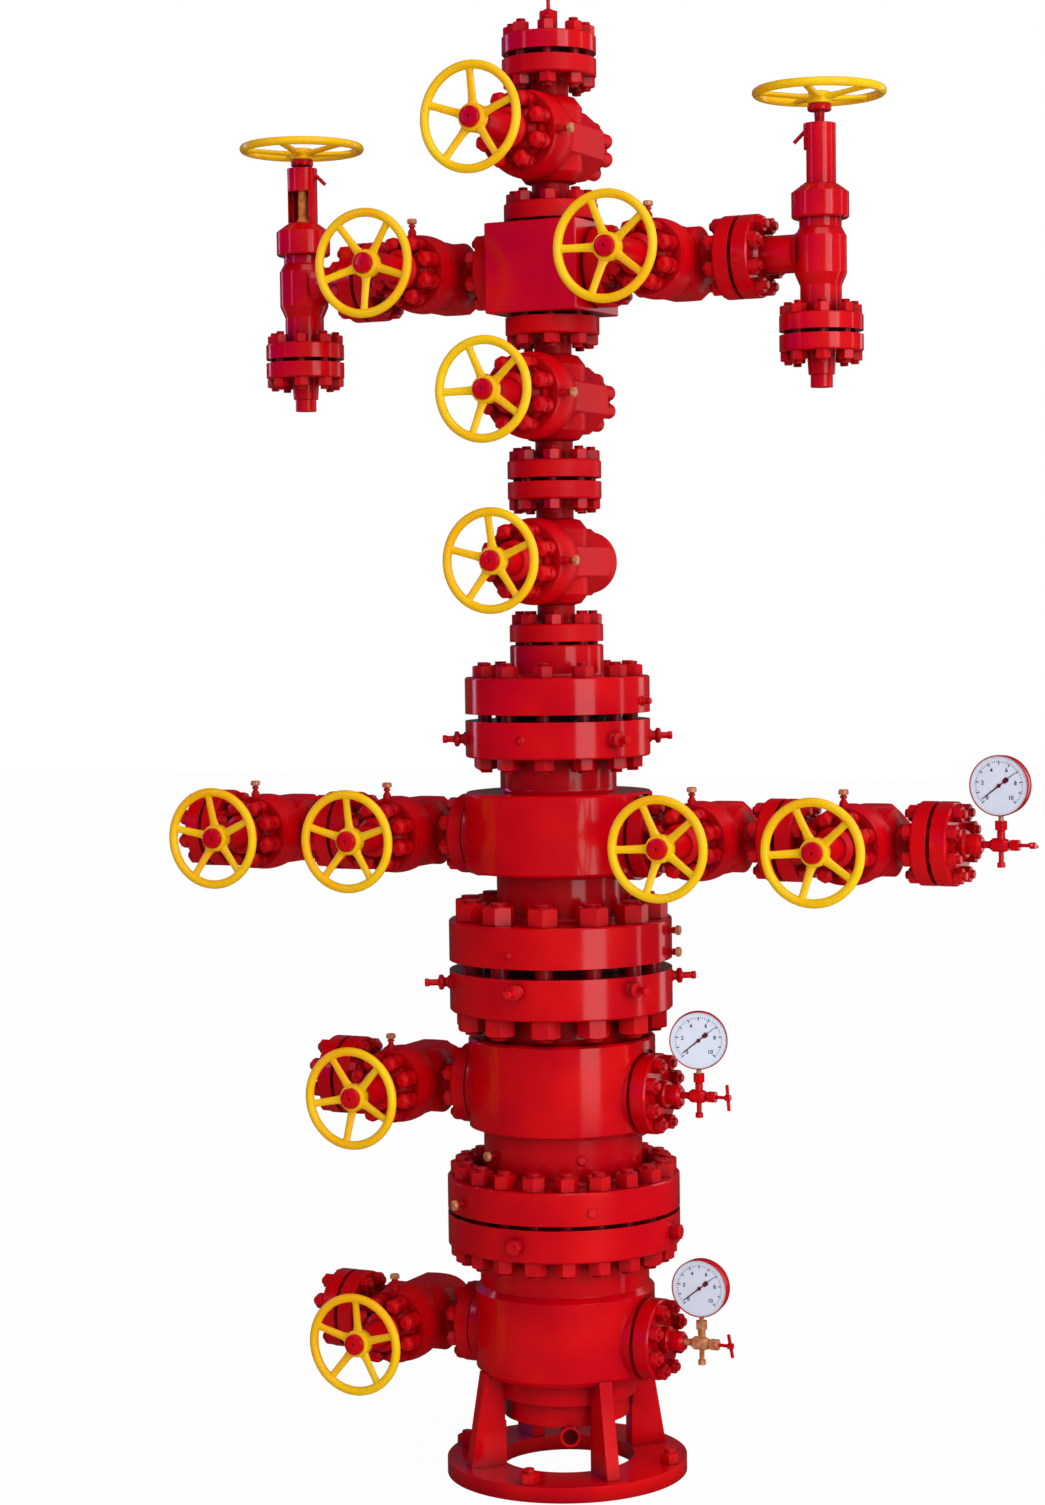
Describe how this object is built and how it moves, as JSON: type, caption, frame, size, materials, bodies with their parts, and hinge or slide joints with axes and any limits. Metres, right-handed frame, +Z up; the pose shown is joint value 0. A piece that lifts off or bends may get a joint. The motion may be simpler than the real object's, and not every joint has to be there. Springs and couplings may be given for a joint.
{
  "type": "oil wellhead valve stack",
  "caption": "Red oil wellhead and valve tree: stacked flanged heads and gate valves on a bolted base ring, with side arms, two angle chokes, pressure gauges and yellow hand wheels.",
  "frame": {"origin": "on the stack's axis, at the centre of the anchor bolt circle, on the underside of the base ring", "axes": "+Z up the stack, +X along the arms with the gauges, -Y towards the faces of the gate valves' hand wheels"},
  "size_m": [2.373, 0.8136, 3.84],
  "materials": {
    "red_enamel": "glossy red enamel over forged steel",
    "yellow_enamel": "glossy yellow enamel over cast steel",
    "brass_fitting": "turned brass",
    "plated_steel": "bare machined steel",
    "gauge_case": "red enamelled case round a white dial"
  },
  "bodies": {
    "root": {"base_ring": "red_enamel", "base_gussets": "red_enamel", "casing_head": "red_enamel", "casing_spool": "red_enamel", "tubing_head": "red_enamel", "tree_adapter": "red_enamel", "lower_master_valve": "red_enamel", "upper_master_valve": "red_enamel", "swab_valve": "red_enamel", "wing_valves": "red_enamel", "tubing_head_valves": "red_enamel", "casing_valves": "red_enamel", "gate_valve_bonnets": "red_enamel", "cross_block": "red_enamel", "tree_cap": "red_enamel", "choke_bodies": "red_enamel", "choke_bonnets": "red_enamel", "choke_end_flanges": "red_enamel", "blind_flanges": "red_enamel", "gauge_flanges": "red_enamel", "needle_valves": "red_enamel", "pressure_gauges": "gauge_case", "ring_gaskets": "plated_steel", "lockdown_screws": "red_enamel", "grease_fittings": "brass_fitting"},
    "lower_master_wheel": {"lower_master_wheel": "yellow_enamel"},
    "upper_master_wheel": {"upper_master_wheel": "yellow_enamel"},
    "swab_wheel": {"swab_wheel": "yellow_enamel"},
    "left_wing_wheel": {"left_wing_wheel": "yellow_enamel"},
    "right_wing_wheel": {"right_wing_wheel": "yellow_enamel"},
    "left_inner_wheel": {"left_inner_wheel": "yellow_enamel"},
    "left_outer_wheel": {"left_outer_wheel": "yellow_enamel"},
    "right_inner_wheel": {"right_inner_wheel": "yellow_enamel"},
    "right_outer_wheel": {"right_outer_wheel": "yellow_enamel"},
    "casing_spool_wheel": {"casing_spool_wheel": "yellow_enamel"},
    "casing_head_wheel": {"casing_head_wheel": "yellow_enamel"},
    "left_choke_stem": {"left_choke_stem": "brass_fitting"},
    "left_choke_wheel": {"left_choke_wheel": "yellow_enamel"},
    "right_choke_stem": {"right_choke_stem": "brass_fitting"},
    "right_choke_wheel": {"right_choke_wheel": "yellow_enamel"},
    "tubing_needle_handle": {"tubing_needle_handle": "red_enamel"},
    "spool_needle_handle": {"spool_needle_handle": "red_enamel"},
    "head_needle_handle": {"head_needle_handle": "red_enamel"}
  },
  "joints": [
    {"name": "lower_master_turn", "type": "hinge", "parent": "root", "child": "lower_master_wheel", "pos_m": [0, -0.376, 2.39], "axis": [0, 1, 0], "range_deg": [0, 5940]},
    {"name": "upper_master_turn", "type": "hinge", "parent": "root", "child": "upper_master_wheel", "pos_m": [0, -0.403, 2.814], "axis": [0, 1, 0], "range_deg": [0, 5940]},
    {"name": "swab_turn", "type": "hinge", "parent": "root", "child": "swab_wheel", "pos_m": [0, -0.452, 3.476], "axis": [0, 1, 0], "range_deg": [0, 5940]},
    {"name": "left_wing_turn", "type": "hinge", "parent": "root", "child": "left_wing_wheel", "pos_m": [-0.335, -0.4, 3.145], "axis": [0, 1, 0], "range_deg": [0, 4500]},
    {"name": "right_wing_turn", "type": "hinge", "parent": "root", "child": "right_wing_wheel", "pos_m": [0.335, -0.4, 3.145], "axis": [0, 1, 0], "range_deg": [0, 4500]},
    {"name": "left_inner_turn", "type": "hinge", "parent": "root", "child": "left_inner_wheel", "pos_m": [-0.436, -0.356, 1.677], "axis": [0, 1, 0], "range_deg": [0, 4500]},
    {"name": "left_outer_turn", "type": "hinge", "parent": "root", "child": "left_outer_wheel", "pos_m": [-0.84, -0.356, 1.677], "axis": [0, 1, 0], "range_deg": [0, 4500]},
    {"name": "right_inner_turn", "type": "hinge", "parent": "root", "child": "right_inner_wheel", "pos_m": [0.436, -0.356, 1.677], "axis": [0, 1, 0], "range_deg": [0, 4500]},
    {"name": "right_outer_turn", "type": "hinge", "parent": "root", "child": "right_outer_wheel", "pos_m": [0.84, -0.356, 1.677], "axis": [0, 1, 0], "range_deg": [0, 4500]},
    {"name": "casing_spool_turn", "type": "hinge", "parent": "root", "child": "casing_spool_wheel", "pos_m": [-0.436, -0.356, 1.012], "axis": [0, 1, 0], "range_deg": [0, 4500]},
    {"name": "casing_head_turn", "type": "hinge", "parent": "root", "child": "casing_head_wheel", "pos_m": [-0.436, -0.356, 0.37], "axis": [0, 1, 0], "range_deg": [0, 4500]},
    {"name": "left_choke_rise", "type": "slide", "parent": "root", "child": "left_choke_stem", "axis": [0, 0, 1], "range_m": [0, 0.025]},
    {"name": "left_choke_turn", "type": "hinge", "parent": "left_choke_stem", "child": "left_choke_wheel", "pos_m": [-0.742, 0, 3.525], "axis": [0, 0, 1], "range_deg": [0, 1500]},
    {"name": "right_choke_rise", "type": "slide", "parent": "root", "child": "right_choke_stem", "axis": [0, 0, 1], "range_m": [-0.025, 0]},
    {"name": "right_choke_turn", "type": "hinge", "parent": "right_choke_stem", "child": "right_choke_wheel", "pos_m": [0.742, 0, 3.525], "axis": [0, 0, 1], "range_deg": [-1500, 0]},
    {"name": "tubing_needle_handle_turn", "type": "hinge", "parent": "root", "child": "tubing_needle_handle", "pos_m": [1.244, 0, 1.677], "axis": [1, 0, 0], "range_deg": [0, 1980]},
    {"name": "spool_needle_handle_turn", "type": "hinge", "parent": "root", "child": "spool_needle_handle", "pos_m": [0.436, 0, 1.012], "axis": [1, 0, 0], "range_deg": [0, 1980]},
    {"name": "head_needle_handle_turn", "type": "hinge", "parent": "root", "child": "head_needle_handle", "pos_m": [0.436, 0, 0.37], "axis": [1, 0, 0], "range_deg": [0, 1980]}
  ],
  "couplings": [
    {"joint": "left_choke_rise", "follows": "left_choke_turn", "m_per_rad": 0.00095493},
    {"joint": "right_choke_rise", "follows": "right_choke_turn", "m_per_rad": 0.00095493}
  ]
}
